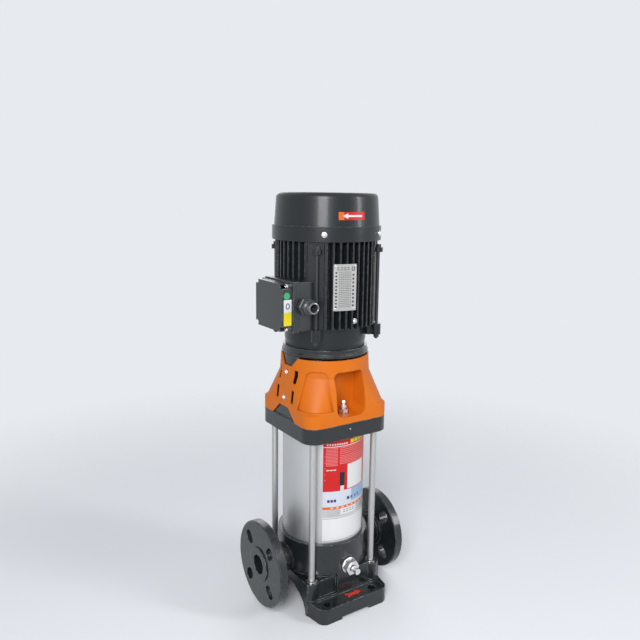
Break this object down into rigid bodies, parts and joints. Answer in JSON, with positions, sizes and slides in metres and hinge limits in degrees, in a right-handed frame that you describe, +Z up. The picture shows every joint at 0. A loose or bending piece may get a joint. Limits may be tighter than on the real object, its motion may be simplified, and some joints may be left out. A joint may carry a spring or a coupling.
{
  "type": "vertical multistage pump",
  "caption": "Vertical in-line multistage centrifugal pump with flanged ports, stainless sleeve, tie rods, guarded shaft coupling and a finned electric motor.",
  "frame": {"origin": "on the floor under the shaft, at the centre of the four foot bolts", "axes": "+Z up along the shaft, +X with the flow from suction to discharge, -Y to the front"},
  "size_m": [0.25, 0.2075, 0.675],
  "materials": {
    "cast_black": "satin gloss black paint over cast iron",
    "motor_black": "black gloss paint over die-cast aluminium",
    "guard_orange": "satin orange",
    "stainless": "satin rolled stainless sheet",
    "rod_steel": "matt zinc",
    "bright_steel": "bright nickel",
    "dark_steel": "black oxide",
    "machined_steel": "machined",
    "rubber": "black EPDM",
    "seal_ceramic": null,
    "neck_plastic": "PTFE",
    "copper": null,
    "laminated_iron": "laminated sheet",
    "fan_plastic": "moulded",
    "board_plastic": "moulded",
    "gland_plastic": "moulded nylon"
  },
  "bodies": {
    "pump": {"base_casting": "cast_black", "suction_flange": "cast_black", "discharge_flange": "cast_black", "outer_sleeve": "stainless", "sleeve_o_rings": "rubber", "tie_rods": "rod_steel", "tie_rod_washers": "bright_steel", "tie_rod_nuts": "rod_steel", "drain_plug_gasket": "rubber", "drain_plug": "bright_steel", "pump_head": "cast_black", "coupling_guard_front": "guard_orange", "coupling_guard_rear": "guard_orange", "guard_screws": "bright_steel", "vent_plug": "bright_steel", "inlet_plate": "stainless", "stage_chambers": "stainless", "neck_rings": "neck_plastic", "top_chamber": "stainless", "stack_straps": "stainless", "chamber_bush": "seal_ceramic", "seal_seat": "seal_ceramic", "seal_plate": "stainless", "seal_plate_screws": "bright_steel", "drive_end_shield": "motor_black", "motor_frame": "motor_black", "rear_end_shield": "motor_black", "frame_through_bolts": "dark_steel", "motor_bolts": "rod_steel", "bearing_outer_rings": "machined_steel", "stator_core": "laminated_iron", "stator_windings": "copper", "fan_cover": "motor_black", "fan_cover_screws": "bright_steel", "terminal_box": "motor_black", "terminal_box_lid": "motor_black", "lid_screws": "bright_steel", "terminal_board": "board_plastic", "cable_gland_body": "gland_plastic", "cable_gland_nut": "gland_plastic"},
    "rotor": {"pump_shaft": "machined_steel", "shaft_spacers": "stainless", "impellers": "stainless", "shaft_bearing_ring": "seal_ceramic", "impeller_lock_nut": "stainless", "seal_carrier": "stainless", "seal_rotating_ring": "seal_ceramic", "coupling_half_front": "cast_black", "coupling_half_rear": "cast_black", "coupling_bolts": "dark_steel", "coupling_pin": "machined_steel", "motor_shaft": "machined_steel", "rotor_core": "laminated_iron", "bearing_inner_rings": "machined_steel", "cooling_fan": "fan_plastic"},
    "ball_sets": {"bearing_balls": "bright_steel"},
    "bypass_seal": {"bypass_o_ring": "rubber"},
    "bypass_screw": {"bypass_spindle": "bright_steel"},
    "vent_seal": {"vent_o_ring": "rubber"},
    "vent_screw": {"vent_spindle": "bright_steel"}
  },
  "joints": [
    {"name": "rotor_spin", "type": "hinge", "parent": "pump", "child": "rotor", "pos_m": [0, 0, 0.4], "axis": [0, 0, 1], "continuous": true},
    {"name": "ball_orbit", "type": "hinge", "parent": "pump", "child": "ball_sets", "pos_m": [0, 0, 0.45], "axis": [0, 0, 1], "continuous": true},
    {"name": "bypass_travel", "type": "slide", "parent": "pump", "child": "bypass_seal", "axis": [0, -1, 0], "range_m": [0, 0.0021]},
    {"name": "bypass_turn", "type": "hinge", "parent": "bypass_seal", "child": "bypass_screw", "pos_m": [0, -0.09, 0.075], "axis": [0, -1, 0], "range_deg": [0, 720]},
    {"name": "vent_travel", "type": "slide", "parent": "pump", "child": "vent_seal", "axis": [0, 0, 1], "range_m": [0, 0.0021]},
    {"name": "vent_turn", "type": "hinge", "parent": "vent_seal", "child": "vent_screw", "pos_m": [0, -0.055, 0.33], "axis": [0, 0, 1], "range_deg": [0, 990]}
  ],
  "couplings": [
    {"joint": "ball_orbit", "follows": "rotor_spin", "ratio": 0.38358},
    {"joint": "bypass_travel", "follows": "bypass_turn", "m_per_rad": 0.00015915},
    {"joint": "vent_travel", "follows": "vent_turn", "m_per_rad": 0.00011937}
  ]
}
